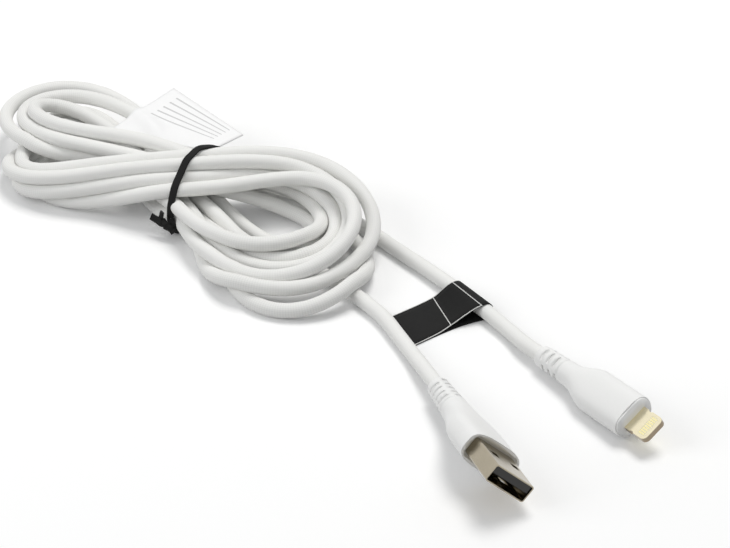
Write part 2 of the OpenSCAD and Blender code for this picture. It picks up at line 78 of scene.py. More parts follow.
def white_table():
    """Matt white that shows plain white to the eye and to gloss, with its shadows kept."""
    material, tree, shader = new_material("table_white")
    shader.inputs["Base Color"].default_value = (0.62, 0.62, 0.62, 1.0)
    shader.inputs["Roughness"].default_value = 0.9
    shader.inputs["Specular IOR Level"].default_value = 0.0
    path = node(tree, "ShaderNodeLightPath")
    glow = node(tree, "ShaderNodeEmission", {"Color": (1, 1, 1, 1), "Strength": 1.0})
    mirrored = node(tree, "ShaderNodeMath", operation="MAXIMUM")
    tree.links.new(path.outputs["Is Glossy Ray"], mirrored.inputs[0])
    tree.links.new(path.outputs["Is Transmission Ray"], mirrored.inputs[1])
    seen = node(tree, "ShaderNodeBsdfDiffuse", {"Color": (1.0, 1.0, 1.0, 1.0)})
    lift = node(tree, "ShaderNodeEmission", {"Color": (1, 1, 1, 1), "Strength": 0.04})
    seen_lift = node(tree, "ShaderNodeAddShader")
    tree.links.new(seen.outputs[0], seen_lift.inputs[0])
    tree.links.new(lift.outputs[0], seen_lift.inputs[1])
    to_eye = node(tree, "ShaderNodeMixShader")
    tree.links.new(path.outputs["Is Camera Ray"], to_eye.inputs[0])
    tree.links.new(shader.outputs[0], to_eye.inputs[1])
    tree.links.new(seen_lift.outputs[0], to_eye.inputs[2])
    to_gloss = node(tree, "ShaderNodeMixShader")
    tree.links.new(mirrored.outputs[0], to_gloss.inputs[0])
    tree.links.new(to_eye.outputs[0], to_gloss.inputs[1])
    tree.links.new(glow.outputs[0], to_gloss.inputs[2])
    tree.links.new(to_gloss.outputs[0], tree.nodes["Material Output"].inputs["Surface"])
    return material


TABLE_HALF = 3.0
table_mesh = bpy.data.meshes.new("table")
table_mesh.from_pydata(
    [(x * TABLE_HALF, y * TABLE_HALF, -0.00002) for x, y in ((-1, -1), (1, -1), (1, 1), (-1, 1))],
    [], [(0, 1, 2, 3)])
table = bpy.data.objects.new("table", table_mesh)
table_mesh.materials.append(white_table())
bpy.context.scene.collection.objects.link(table)

room = bpy.data.worlds.new("room")
bpy.context.scene.world = room
room.use_nodes = True
sky = room.node_tree
room_glow = sky.nodes["Background"]
room_glow.inputs["Color"].default_value = (0.97, 0.985, 1.0, 1.0)
room_glow.inputs["Strength"].default_value = 0.44
room_seen = node(sky, "ShaderNodeBackground", {"Color": (1, 1, 1, 1), "Strength": 1.0})
room_path = node(sky, "ShaderNodeLightPath")
room_mix = node(sky, "ShaderNodeMixShader")
room_gloss = node(sky, "ShaderNodeMath", operation="MAXIMUM")
sky.links.new(room_path.outputs["Is Camera Ray"], room_gloss.inputs[0])
sky.links.new(room_path.outputs["Is Glossy Ray"], room_gloss.inputs[1])
sky.links.new(room_gloss.outputs[0], room_mix.inputs[0])
sky.links.new(room_glow.outputs[0], room_mix.inputs[1])
sky.links.new(room_seen.outputs[0], room_mix.inputs[2])
sky.links.new(room_mix.outputs[0], sky.nodes["World Output"].inputs["Surface"])


def softbox(name, place, size, power, colour):
    """A square area lamp that faces the cable."""
    lamp = bpy.data.lights.new(name, "AREA")
    lamp.shape = "SQUARE"
    lamp.size = size
    lamp.energy = power
    lamp.color = colour
    stand = bpy.data.objects.new(name, lamp)
    stand.location = place
    stand.rotation_euler = (TARGET - stand.location).to_track_quat("-Z", "Y").to_euler()
    bpy.context.scene.collection.objects.link(stand)


softbox("lamp_over", (0.046, 0.38, 0.95), 0.45, 5.2, (1.0, 0.99, 0.97))
softbox("lamp_side", (-0.66, -0.56, 0.50), 0.6, 2.6, (1.0, 1.0, 1.0))


# ---------- The cord ----------
# One round 3.8 mm cord, four cores in a braided off-white jacket, runs from plug to plug.
# Fifteen loops of it are laid to and fro through the tie: eight to the left, seven to the
# right. Each turn is given by a few listed places, then the cord is let settle.

CORD_D = 3.8
CORD_R = CORD_D / 2
TIE_X, TIE_Y = -40.0, 21.5
TIE_HALF_W, TIE_LOW, TIE_TOP = 9.9, 0.7, 19.5
TIE_LOW_R, TIE_TOP_R = 3.0, 7.5

# Where each run crosses the tie, as y and z, in the cord's order
SEATS_OUT = [(25.1, 6.2), (25.2, 2.6), (21.3, 6.3), (13.8, 8.4),
             (13.8, 4.6), (21.4, 2.6), (17.5, 6.3), (17.6, 2.6)]
SEATS_BACK = [(29.0, 7.8), (21.0, 11.6), (25.0, 12.8), (14.2, 12.2),
              (17.2, 14.8), (20.3, 16.8), (24.1, 17.5), (28.0, 16.0)]
# Each loop: x and y of its end, y of its rear and front leg, z of rear leg, end and front leg
LEFT_LOOPS = [
    (-104, 41, 58, 25, 10, 11, 7.5), (-96, 38, 44, 31, 5, 5, 4),
    (-98.5, 38, 51, 27, 12, 12, 10), (-87, 23, 40, 12, 2.2, 2.2, 3.0),
    (-90.5, 21, 42, 10.5, 2.2, 3.2, 5.5), (-91.5, 21.5, 43, 9.5, 2.4, 5, 7),
    (-91.5, 22, 45, 12.5, 4, 6.5, 9), (-96, 37, 42, 30.5, 11, 14, 14)]
RIGHT_LOOPS = [
    (17, 6, 34, -12.5, 2.5, 2, 2), (-1, 18, 33, 8, 4, 4, 4), (-1.5, 17.5, 37, 3, 8.5, 7, 8),
    (10, 14, 35, -5.5, 13, 13.5, 5), (4, 16, 35, 4.5, 12, 7, 5),
    (6, 14.5, 38, 1.5, 15, 7.5, 5), (14, 17.5, 41.5, -9, 14.5, 7, 3)]
LEFT_KNEES = (0.76, 0.84)
RIGHT_KNEES = (0.58, 0.62)

# How the plugs lie: cord end of the boot, heading, roll, nose-up tilt (degrees)
TYPE_A_PLACE = ((51.46, -26.32, 4.154), -46.0, -43.0, 5.5)
PHONE_PLACE = ((68.44, -3.15, 3.365), -30.0, 30.0, 3.3)


def plug_matrix(place):
    """Turns a plug's own millimetres, x towards its tip, into the room's."""
    at, heading, roll, tilt = place
    return (Matrix.Translation(at) @ Matrix.Rotation(math.radians(heading), 4, "Z")
            @ Matrix.Rotation(math.radians(-tilt), 4, "Y") @ Matrix.Rotation(math.radians(roll), 4, "X"))


TYPE_A = plug_matrix(TYPE_A_PLACE)
PHONE = plug_matrix(PHONE_PLACE)
TYPE_A_JACKET_END, PHONE_JACKET_END = 17.6, 15.8


def on_axis(plug, x):
    return tuple(plug @ Vector((x, 0, 0)))


TYPE_A_ROUTE = [(19, 2, CORD_R), (26, -2, CORD_R), (33, -8, CORD_R), (40, -14.5, CORD_R + 0.3),
                on_axis(TYPE_A, -6.4), on_axis(TYPE_A, -2.4), on_axis(TYPE_A, TYPE_A_JACKET_END)]
TYPE_A_INTO_HANK = [(12.5, 5, CORD_R), (0, 10.5, CORD_R), (-14.5, 16.3, CORD_R), (-27, 22, 2.2)]
HANK_TO_PHONE = [(-26, 37, 4.5), (-10, 37.5, CORD_R), (6, 32.5, CORD_R)]
PHONE_ROUTE = [(13, 29, CORD_R), (20, 25.5, CORD_R), (28, 21.5, CORD_R + 0.1), (37, 16.5, 2.3),
               (43, 13.2, 2.3), (49, 9.8, 2.3), (57, 4.8, CORD_R + 0.2), on_axis(PHONE, -5.9),
               on_axis(PHONE, -1.9), on_axis(PHONE, PHONE_JACKET_END)]


def loop_places(loop, knees, home):
    """Rear knee, end and front knee of one loop, and a place on its front leg near the tie."""
    x, y, rear_y, front_y, rear_z, end_z, front_z = loop
    rear_x, front_x = (TIE_X + k * (x - TIE_X) for k in knees)
    places = [(rear_x, rear_y, rear_z), (x, y, end_z), (front_x, front_y, front_z)]
    if home:
        places.append(tuple(0.4 * a + 0.6 * b + c for a, b, c in zip(places[2], home, (0, 2.5, 0))))
    return places


def cord_design():
    """Every listed place in order."""
    places = TYPE_A_ROUTE[::-1] + TYPE_A_INTO_HANK
    for i, left in enumerate(LEFT_LOOPS):
        home = (TIE_X, *SEATS_BACK[i])
        places += [(TIE_X, *SEATS_OUT[i])] + loop_places(left, LEFT_KNEES, home) + [home]
        if i < len(RIGHT_LOOPS):
            places += loop_places(RIGHT_LOOPS[i], RIGHT_KNEES, None)
    return places + HANK_TO_PHONE + PHONE_ROUTE


def rounded_line(places, steps):
    """A smooth line through the places, even where they stand unevenly."""
    p = np.array(places, float)
    p = np.vstack([2 * p[0] - p[1], p, 2 * p[-1] - p[-2]])
    line = []
    for i in range(1, len(p) - 2):
        p0, p1, p2, p3 = p[i - 1:i + 3]
        t0 = 0.0
        t1 = t0 + math.sqrt(np.linalg.norm(p1 - p0))
        t2 = t1 + math.sqrt(np.linalg.norm(p2 - p1))
        t3 = t2 + math.sqrt(np.linalg.norm(p3 - p2))
        for t in np.linspace(t1, t2, steps, endpoint=False):
            a1 = ((t1 - t) * p0 + (t - t0) * p1) / (t1 - t0)
            a2 = ((t2 - t) * p1 + (t - t1) * p2) / (t2 - t1)
            a3 = ((t3 - t) * p2 + (t - t2) * p3) / (t3 - t2)
            b1 = ((t2 - t) * a1 + (t - t0) * a2) / (t2 - t0)
            b2 = ((t3 - t) * a2 + (t - t1) * a3) / (t3 - t1)
            line.append(((t2 - t) * b1 + (t - t1) * b2) / (t2 - t1))
    line.append(p[-2])
    return np.array(line)


def run_length(line):
    return np.r_[0, np.cumsum(np.linalg.norm(np.diff(line, axis=0), axis=1))]


def evenly(line, gap):
    """The same line with its points one gap apart."""
    run = run_length(line)
    at = np.linspace(0, run[-1], int(round(run[-1] / gap)) + 1)
    return np.stack([np.interp(at, run, line[:, k]) for k in range(3)], 1)


def settle_cord(start, fixed_front, fixed_rear, rounds=300):
    """Lets the cord find its place: it resists bending, keeps its length, presses its
    neighbours aside, rests on the table and stays inside the tie."""
    x = start.copy()
    n = len(x)
    gap = np.linalg.norm(np.diff(x, axis=0), axis=1).mean()
    first, second = np.triu_indices(n, int(np.ceil(1.8 * CORD_D / gap)))
    free = np.ones((n, 1))
    free[:fixed_front] = 0
    free[n - fixed_rear:] = 0
    near_tie, watched = 2.5, CORD_D + 2.5
    hold_early, hold_late, weight, press = 0.08, 0.004, 0.02, 1.3
    tie_bend_z = (TIE_LOW + TIE_LOW_R, TIE_TOP - TIE_TOP_R)
    for step in range(rounds):
        age = step / rounds
        for _ in range(2):
            bend = np.zeros_like(x)
            bend[2:-2] = (4 * x[1:-3] + 4 * x[3:-1] - x[:-4] - x[4:]) / 6 - x[2:-2]
            x += 0.5 * bend * free
            bend[4:-4] = (4 * x[2:-6] + 4 * x[6:-2] - x[:-8] - x[8:]) / 6 - x[4:-4]
            x += 0.3 * bend * free
        x += (hold_early * (1 - age) ** 1.5 + hold_late) * (start - x) * free
        x[:, 2] -= weight * free[:, 0]
        for _ in range(2):
            for odd in (0, 1):
                a, b = x[odd:-1:2], x[odd + 1::2]
                m = min(len(a), len(b))
                fa, fb = free[odd:-1:2][:m], free[odd + 1::2][:m]
                span = b[:m] - a[:m]
                size = np.linalg.norm(span, axis=1, keepdims=True)
                pull = span / size * (size - gap) / np.maximum(fa + fb, 1e-9)
                a[:m] += pull * fa
                b[:m] -= pull * fb
        if step % 4 == 0:
            apart = x[first] - x[second]
            close = (apart * apart).sum(1) < watched ** 2
            one, two = first[close], second[close]
        for _ in range(2):
            apart = x[one] - x[two]
            size = np.sqrt((apart * apart).sum(1))
            touch = size < CORD_D
            i, j = one[touch], two[touch]
            size = np.maximum(size[touch], 1e-6)[:, None]
            push = apart[touch] / size * (CORD_D - size) / 2
            moved, count = np.zeros_like(x), np.zeros((n, 1))
            np.add.at(moved, i, push)
            np.add.at(moved, j, -push)
            np.add.at(count, i, 1)
            np.add.at(count, j, 1)
            x += moved / np.maximum(count, 1) * press * free
        x[:, 2] = np.maximum(x[:, 2], CORD_R)
        y, z = x[:, 1] - TIE_Y, x[:, 2]
        corner = np.where(z < sum(tie_bend_z) / 2, TIE_LOW_R, TIE_TOP_R)
        core_y = np.clip(y, corner - TIE_HALF_W, TIE_HALF_W - corner)
        core_z = np.clip(z, *tie_bend_z)
        out = np.hypot(y - core_y, z - core_z)
        held = (np.abs(x[:, 0] - TIE_X) < near_tie) & (out > corner - CORD_R)
        back = (corner - CORD_R) / np.maximum(out, 1e-9)
        x[:, 1] = np.where(held, TIE_Y + core_y + (y - core_y) * back, x[:, 1])
        x[:, 2] = np.where(held, core_z + (z - core_z) * back, x[:, 2])
    return x


def along_frames(line):
    """For each point of a line: its direction and two square-on directions that never twist."""
    ahead = np.gradient(line, axis=0)
    ahead /= np.linalg.norm(ahead, axis=1, keepdims=True)
    side = np.zeros_like(line)
    s = np.cross((0, 0, 1), ahead[0])
    for i, d in enumerate(ahead):
        s = s - d * (s @ d)
        s /= np.linalg.norm(s)
        side[i] = s
    return ahead, side, np.cross(ahead, side)


def skin(name, rings, run):
    """A closed mesh over a list of equal rings in millimetres. Its UV map holds the share of
    the way round each ring and the run along it, so that a pattern can follow the surface."""
    rings = np.asarray(rings, float)
    m, n = rings.shape[:2]
    mesh = bpy.data.meshes.new(name)
    faces, uvs = [], []
    for i in range(m - 1):
        near, far = run[i], run[i + 1]
        for k in range(n):
            j, h = (k + 1) % n, i + 1
            faces.append((i * n + k, i * n + j, h * n + j, h * n + k))
            uvs += [(k / n, near), ((k + 1) / n, near), ((k + 1) / n, far), (k / n, far)]
    faces += [tuple(range(n - 1, -1, -1)), tuple(range((m - 1) * n, m * n))]
    uvs += [(0.0, run[0])] * n + [(0.0, run[-1])] * n
    mesh.from_pydata((rings.reshape(-1, 3) * MM).tolist(), [], faces)
    layer = mesh.uv_layers.new(name="way")
    layer.data.foreach_set("uv", np.array(uvs, float).ravel())
    mesh.polygons.foreach_set("use_smooth", [True] * len(mesh.polygons))
    outward = bmesh.new()
    outward.from_mesh(mesh)
    bmesh.ops.recalc_face_normals(outward, faces=outward.faces)
    outward.to_mesh(mesh)
    outward.free()
    made = bpy.data.objects.new(name, mesh)
    bpy.context.scene.collection.objects.link(made)
    return made


def round_ring(centre, side, up, radius, sides):
    turn = np.linspace(0, 2 * math.pi, sides, endpoint=False)[:, None]
    return centre + radius * (np.cos(turn) * side + np.sin(turn) * up)


CORD_STEP = 2.5            # between the places that settle
CORD_GAP = 1.25            # between the rings of the finished skin
CORD_SIDES = 18
DESIGN_STEPS = 24          # places drawn between two listed ones
# Where the ribs of painted shade begin to show, over how much more bend they grow to full,
# and how many points along the cord that is averaged over
RIBS_FROM, RIBS_OVER, RIBS_WINDOW = 0.03, 0.06, 9
design = evenly(rounded_line(cord_design(), DESIGN_STEPS), CORD_STEP)
head = run_length(rounded_line(TYPE_A_ROUTE[::-1], DESIGN_STEPS))[-1]
tail = run_length(rounded_line(PHONE_ROUTE, DESIGN_STEPS))[-1]
settled = settle_cord(design, int(head / CORD_STEP), int(tail / CORD_STEP))
cord_line = evenly(rounded_line(settled, 4), CORD_GAP)
cord_line[:, 2] = np.maximum(cord_line[:, 2], CORD_R)
cord_run = run_length(cord_line)
cord_ahead, cord_side, cord_up = along_frames(cord_line)
cord = skin("cord", [round_ring(c, s, u, CORD_R, CORD_SIDES)
                     for c, s, u in zip(cord_line, cord_side, cord_up)], cord_run)
# How sharply the cord bends at each point: there its threads open, and the shade in the gaps between them is
# painted as darker fine ribs
bend = np.linalg.norm(np.gradient(cord_ahead, axis=0), axis=1) / CORD_GAP
bend = np.convolve(np.clip((bend - RIBS_FROM) / RIBS_OVER, 0, 1),
                   np.ones(RIBS_WINDOW) / RIBS_WINDOW, mode="same")
cord_bend = cord.data.attributes.new("bend", "FLOAT", "POINT")
cord_bend.data.foreach_set("value", np.repeat(bend, CORD_SIDES))


def braid_group():
    """Fine plaited threads round a cord: a height from the way round and along."""
    tree = bpy.data.node_groups.new("plaited_threads", "ShaderNodeTree")
    for name, value in (("Carriers", 16.0), ("Pitch", 1.0)):
        tree.interface.new_socket(name, in_out="INPUT", socket_type="NodeSocketFloat").default_value = value
    tree.interface.new_socket("Height", in_out="OUTPUT", socket_type="NodeSocketFloat")
    given, out = node(tree, "NodeGroupInput"), node(tree, "NodeGroupOutput")
    way = node(tree, "ShaderNodeSeparateXYZ")
    tree.links.new(node(tree, "ShaderNodeUVMap", uv_map="way").outputs[0], way.inputs[0])

    def maths(operation, *values):
        made = node(tree, "ShaderNodeMath", operation=operation)
        for socket, value in zip(made.inputs, values):
            if isinstance(value, (int, float)):
                socket.default_value = value
            else:
                tree.links.new(value, socket)
        return made.outputs[0]

    around = maths("MULTIPLY", maths("MULTIPLY", way.outputs[0], given.outputs["Carriers"]), math.pi)
    along = maths("MULTIPLY", maths("DIVIDE", way.outputs[1], given.outputs["Pitch"]), math.pi)
    left = maths("SINE", maths("ADD", around, along))
    right = maths("SINE", maths("SUBTRACT", around, along))
    height = maths("MULTIPLY_ADD", maths("MULTIPLY", left, right), 0.5, 0.5)
    tree.links.new(height, out.inputs["Height"])
    return tree


def jacket_material():
    material, tree, shader = new_material("braided_jacket")
    braid = node(tree, "ShaderNodeGroup", node_tree=braid_group())
    braid.inputs["Carriers"].default_value = 24.0
    braid.inputs["Pitch"].default_value = 0.62
    place = node(tree, "ShaderNodeTexCoord")
    soil = node(tree, "ShaderNodeTexNoise", {"Scale": 60.0, "Detail": 3.0})
    tree.links.new(place.outputs["Object"], soil.inputs["Vector"])
    tone = node(tree, "ShaderNodeMix", data_type="RGBA")
    tone.inputs[6].default_value = (0.85, 0.848, 0.825, 1)
    tone.inputs[7].default_value = (0.88, 0.878, 0.858, 1)
    tree.links.new(soil.outputs["Fac"], tone.inputs[0])
    # The braid's pits are painted darker as shade between the threads, and darker still where the cord bends
    painted_pit_shade = node(tree, "ShaderNodeMix", data_type="RGBA", blend_type="MULTIPLY")
    painted_pit_shade.inputs[0].default_value = 1.0
    pit_shade_amount = node(tree, "ShaderNodeMapRange", {"To Max": 1.0})
    bent = node(tree, "ShaderNodeAttribute", attribute_name="bend")
    pit_shade_at_bends = node(tree, "ShaderNodeMapRange", {"To Min": 0.975, "To Max": 0.85})
    tree.links.new(bent.outputs["Fac"], pit_shade_at_bends.inputs["Value"])
    tree.links.new(pit_shade_at_bends.outputs[0], pit_shade_amount.inputs["To Min"])
    tree.links.new(braid.outputs["Height"], pit_shade_amount.inputs["Value"])
    tree.links.new(tone.outputs[2], painted_pit_shade.inputs[6])
    tree.links.new(pit_shade_amount.outputs[0], painted_pit_shade.inputs[7])
    tree.links.new(painted_pit_shade.outputs[2], shader.inputs["Base Color"])
    bump = node(tree, "ShaderNodeBump", {"Strength": 0.3, "Distance": 0.00005})
    tree.links.new(braid.outputs["Height"], bump.inputs["Height"])
    tree.links.new(bump.outputs[0], shader.inputs["Normal"])
    shader.inputs["Roughness"].default_value = 0.62
    return material


cord.data.materials.append(jacket_material())
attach(cord, "root")
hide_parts("hank", "type_a_tail", "phone_tail")


# ---------- The cores, crimps and inner moulds ----------
# Inside each plug the jacket ends in a folded steel crimp, and four coloured cores fan out
# to the solder places. A hard inner mould is shot round them before the grip is.


def grained(name, low, high, roughness, scale, depth, metallic=0.0):
    """A moulded or rolled finish: two close tones and a shallow grain."""
    material, tree, shader = new_material(name)
    place = node(tree, "ShaderNodeTexCoord")
    grain = node(tree, "ShaderNodeTexNoise", {"Scale": scale, "Detail": 4.0, "Roughness": 0.6})
    tree.links.new(place.outputs["Object"], grain.inputs["Vector"])
    tone = node(tree, "ShaderNodeMix", data_type="RGBA")
    tone.inputs[6].default_value = (*low, 1)
    tone.inputs[7].default_value = (*high, 1)
    tree.links.new(grain.outputs["Fac"], tone.inputs[0])
    tree.links.new(tone.outputs[2], shader.inputs["Base Color"])
    rough = node(tree, "ShaderNodeMapRange", {"To Min": roughness - 0.05, "To Max": roughness + 0.05})
    tree.links.new(grain.outputs["Fac"], rough.inputs["Value"])
    tree.links.new(rough.outputs[0], shader.inputs["Roughness"])
    bump = node(tree, "ShaderNodeBump", {"Strength": 0.4, "Distance": depth})
    tree.links.new(grain.outputs["Fac"], bump.inputs["Height"])
    tree.links.new(bump.outputs[0], shader.inputs["Normal"])
    shader.inputs["Metallic"].default_value = metallic
    return material


def finish(material, *names):
    """Gives a finish to solids that are already right in shape."""
    for name in names:
        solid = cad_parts[name]
        solid.data.materials.clear()
        solid.data.materials.append(material)


for colour, low, high in (
        ("red", (0.45, 0.02, 0.02), (0.55, 0.03, 0.03)),
        ("white", (0.70, 0.70, 0.68), (0.80, 0.80, 0.78)),
        ("green", (0.02, 0.25, 0.06), (0.03, 0.33, 0.08)),
        ("black", (0.015, 0.015, 0.015), (0.03, 0.03, 0.03))):
    finish(grained("core_" + colour + "_sleeve", low, high, 0.4, 900, 0.00002),
           "type_a_" + colour + "_core", "phone_" + colour + "_core")
STEEL = grained("plain_steel", (0.55, 0.55, 0.54), (0.66, 0.66, 0.65), 0.35, 700, 0.00002,
                metallic=1.0)
finish(STEEL, "type_a_crimp", "phone_crimp", "phone_shield_can")
finish(grained("hard_mould", (0.78, 0.77, 0.72), (0.85, 0.84, 0.80), 0.5, 500, 0.00003),
       "type_a_inner_mould", "phone_inner_mould")


# ---------- The type-A plug ----------
# A folded nickelled steel shell, with two latch windows above and two below, round a black
# tongue that carries four gold contacts. The shell stands out of a smooth white grip.

WELD = 0.000001            # corners closer than this are one corner
EDGE_ANGLE = 28            # degrees; a sharper fold than this stays a crisp edge


def smoothed(name, material):
    """A copy of a solid with its triangles joined, smooth but for its real edges."""
    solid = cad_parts[name]
    mesh = solid.data.copy()
    mesh.name = name + "_smooth"
    joined = bmesh.new()
    joined.from_mesh(mesh)
    bmesh.ops.remove_doubles(joined, verts=joined.verts, dist=WELD)
    joined.to_mesh(mesh)
    joined.free()
    mesh.polygons.foreach_set("use_smooth", [True] * len(mesh.polygons))
    mesh.set_sharp_from_angle(angle=math.radians(EDGE_ANGLE))
    mesh.materials.clear()
    mesh.materials.append(material)
    made = bpy.data.objects.new(name + "_smooth", mesh)
    bpy.context.scene.collection.objects.link(made)
    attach(made, "root")
    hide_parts(name)
    return made


NICKEL = grained("nickelled_steel", (0.37, 0.33, 0.25), (0.43, 0.385, 0.30), 0.22, 300, 0.00001,
                 metallic=1.0)
BLACK_PLASTIC = grained("black_insulator", (0.012, 0.011, 0.010), (0.025, 0.024, 0.022),
                        0.45, 600, 0.00002)
GOLD = grained("gold_plate", (0.83, 0.60, 0.25), (0.92, 0.70, 0.33), 0.25, 600, 0.00001,
               metallic=1.0)
SOFT_WHITE = grained("soft_white_grip", (0.85, 0.85, 0.84), (0.88, 0.88, 0.87), 0.45, 1500, 0.00002)
smoothed("type_a_shell", NICKEL)
finish(BLACK_PLASTIC, "type_a_tongue")
finish(GOLD, "type_a_power_contacts", "type_a_data_contacts")
smoothed("type_a_grip", SOFT_WHITE)
smoothed("type_a_boot", SOFT_WHITE)


# ---------- The phone plug ----------
# A slim metal tab with eight gilt pads on each face, soldered to a small circuit board in a
# steel can. The grip is moulded over the can, and a thin collar closes it round the tab.

CHAMPAGNE = grained("champagne_plate", (0.80, 0.72, 0.50), (0.90, 0.83, 0.62), 0.22, 500, 0.00001,
                    metallic=1.0)
# The tab's side faces get a much darker copy of the plate colour: painted shade on the sides, which are the
# same metal as the faces
SHADED_TAB_EDGE = grained("tab_edge_shade", (0.26, 0.21, 0.15), (0.34, 0.28, 0.20), 0.3, 500, 0.00001,
                   metallic=1.0)
PALE_GILT = grained("pale_gilt", (0.90, 0.80, 0.42), (0.95, 0.86, 0.50), 0.25, 600, 0.00001,
                    metallic=1.0)
TAB_FACE_Z = 0.8           # the two faces look up or down by at least this share
finish(grained("cream_insulator", (0.80, 0.74, 0.50), (0.86, 0.80, 0.57), 0.45, 600, 0.00002),
       "phone_tab_insulator")
finish(PALE_GILT, "phone_contacts_top", "phone_contacts_bottom")
tab = smoothed("phone_tab", CHAMPAGNE)
tab.data.materials.append(SHADED_TAB_EDGE)
# Faces that look neither up nor down, the tab's sides, take the darker copy as painted shade
for face in tab.data.polygons:
    face.material_index = int(abs(face.normal.z) < TAB_FACE_Z)
phone_outside = [tab] + [smoothed(name, SOFT_WHITE)
                         for name in ("phone_grip", "phone_boot", "phone_collar")]
finish(grained("green_board", (0.02, 0.18, 0.07), (0.03, 0.24, 0.10), 0.35, 500, 0.00002), "phone_board")
finish(grained("chip_epoxy", (0.02, 0.02, 0.02), (0.05, 0.05, 0.05), 0.55, 900, 0.00002), "phone_chips")


# ---------- The twist tie ----------
# A flat black satin ribbon with a steel wire in it, bent once round the hank. Its two ends
# are twisted round each other low at the front, and their cut tips stand out of the twist.

TIE_W, TIE_T, TIE_WIRE_D = 2.0, 0.6, 0.35
TIE_CLEAR = 0.1            # between the ribbon and the runs it holds
TIE_GAP = 0.7              # between the places worked out
TIE_STEPS = 3              # places drawn for each place worked out
RIBBON_EASE = 0.45         # corner radius of a ribbon, as a share of its thickness


def grown(name, start, tree, values):
    """Runs a geometry tree on a start mesh and keeps what grows as one plain mesh."""
    seed = bpy.data.objects.new(name + "_seed", start)
    bpy.context.scene.collection.objects.link(seed)
    growth = seed.modifiers.new("growth", "NODES")
    growth.node_group = tree
    for item in tree.interface.items_tree:
        if item.item_type == "SOCKET" and item.in_out == "INPUT" and item.name in values:
            growth[item.identifier] = values[item.name]
    bpy.context.view_layer.update()
    mesh = bpy.data.meshes.new_from_object(seed.evaluated_get(bpy.context.evaluated_depsgraph_get()))
    mesh.name = name
    bpy.data.objects.remove(seed)
    made = bpy.data.objects.new(name, mesh)
    bpy.context.scene.collection.objects.link(made)
    return made


def geometry_tree(name, inputs):
    """An empty geometry tree with its named inputs, and its two end nodes."""
    tree = bpy.data.node_groups.new(name, "GeometryNodeTree")
    tree.interface.new_socket("Geometry", in_out="INPUT", socket_type="NodeSocketGeometry")
    for label, kind, value in inputs:
        made = tree.interface.new_socket(label, in_out="INPUT", socket_type=kind)
        if value is not None:
            made.default_value = value
    tree.interface.new_socket("Geometry", in_out="OUTPUT", socket_type="NodeSocketGeometry")
    return tree, node(tree, "NodeGroupInput"), node(tree, "NodeGroupOutput")


def ribbon_tree():
    """Sweeps a flat ribbon along a line of points, turned at each by its attribute turn."""
    tree, given, out = geometry_tree("ribbon_along", (
        ("Width", "NodeSocketFloat", 0.002), ("Thickness", "NodeSocketFloat", 0.0006),
        ("Finish", "NodeSocketMaterial", None)))
    way = node(tree, "GeometryNodeMeshToCurve")
    tree.links.new(given.outputs["Geometry"], way.inputs["Mesh"])
    turn = node(tree, "GeometryNodeInputNamedAttribute", {"Name": "turn"}, data_type="FLOAT")
    tilted = node(tree, "GeometryNodeSetCurveTilt")
    tree.links.new(way.outputs[0], tilted.inputs["Curve"])
    tree.links.new(turn.outputs["Attribute"], tilted.inputs["Tilt"])
    section = node(tree, "GeometryNodeCurvePrimitiveQuadrilateral")
    tree.links.new(given.outputs["Width"], section.inputs["Width"])
    tree.links.new(given.outputs["Thickness"], section.inputs["Height"])
    edge = node(tree, "ShaderNodeMath", {1: RIBBON_EASE}, operation="MULTIPLY")
    tree.links.new(given.outputs["Thickness"], edge.inputs[0])
    eased = node(tree, "GeometryNodeFilletCurve", {"Count": 3}, mode="POLY")
    tree.links.new(section.outputs[0], eased.inputs["Curve"])
    tree.links.new(edge.outputs[0], eased.inputs["Radius"])
    swept = node(tree, "GeometryNodeCurveToMesh", {"Fill Caps": True})
    tree.links.new(tilted.outputs[0], swept.inputs["Curve"])
    tree.links.new(eased.outputs[0], swept.inputs["Profile Curve"])
    whole = node(tree, "GeometryNodeRealizeInstances")
    tree.links.new(swept.outputs[0], whole.inputs[0])
    dressed = node(tree, "GeometryNodeSetMaterial")
    tree.links.new(whole.outputs[0], dressed.inputs["Geometry"])
    tree.links.new(given.outputs["Finish"], dressed.inputs["Material"])
    tree.links.new(dressed.outputs[0], out.inputs["Geometry"])
    return tree


def unit_rows(rows):
    return rows / np.maximum(np.linalg.norm(rows, axis=-1, keepdims=True), 1e-9)


def turns_for(points, flat):
    """How far a swept section has to be turned at each point to lie along a wanted direction."""
    legs = unit_rows(np.diff(points, axis=0))
    ahead = unit_rows(np.vstack([legs[:1], legs[:-1] + legs[1:], legs[-1:]]))
    normal = np.array((ahead[0][1], -ahead[0][0], 0.0))
    normal /= np.linalg.norm(normal)
    turns, last = [], 0.0
    for i, d in enumerate(ahead):
        if i:
            normal = np.array(Vector(ahead[i - 1]).rotation_difference(Vector(d)) @ Vector(normal))
        wanted = flat[i] - d * (flat[i] @ d)
        angle = math.atan2(np.cross(normal, wanted) @ d, normal @ wanted)
        angle += math.pi * round((last - angle) / math.pi)
        turns.append(angle)
        last = angle
    return turns


# The twist, from where the two ends meet to where they part again
TWIST_FROM, TWIST_TO = np.array((-37.6, 9.5, 3.3)), np.array((-41.4, 9.8, 4.4))
TWIST_TURNS, TWIST_R = 1.25, 0.5
TIE_SLIP = 4.2             # how far to the right the ribbon goes down the rear
SLIP_TURNS = (35, 100)     # where it is all the way over, and where it begins (degrees)


def twist_way(phase):
    """One end's places round the twist, and which way its flat side lies."""
    axis = TWIST_TO - TWIST_FROM
    axis_ahead = axis / np.linalg.norm(axis)
    side = np.cross(axis_ahead, (0, 0, 1.0))
    side /= np.linalg.norm(side)
    up = np.cross(side, axis_ahead)
    places, flats = [], []
    for t in np.linspace(0, 1, 16):
        a = phase + t * TWIST_TURNS * 2 * math.pi
        off = math.cos(a) * side + math.sin(a) * up
        places.append(TWIST_FROM + axis * t + off * TWIST_R)
        flats.append(np.cross(axis_ahead, off))
    return places, flats


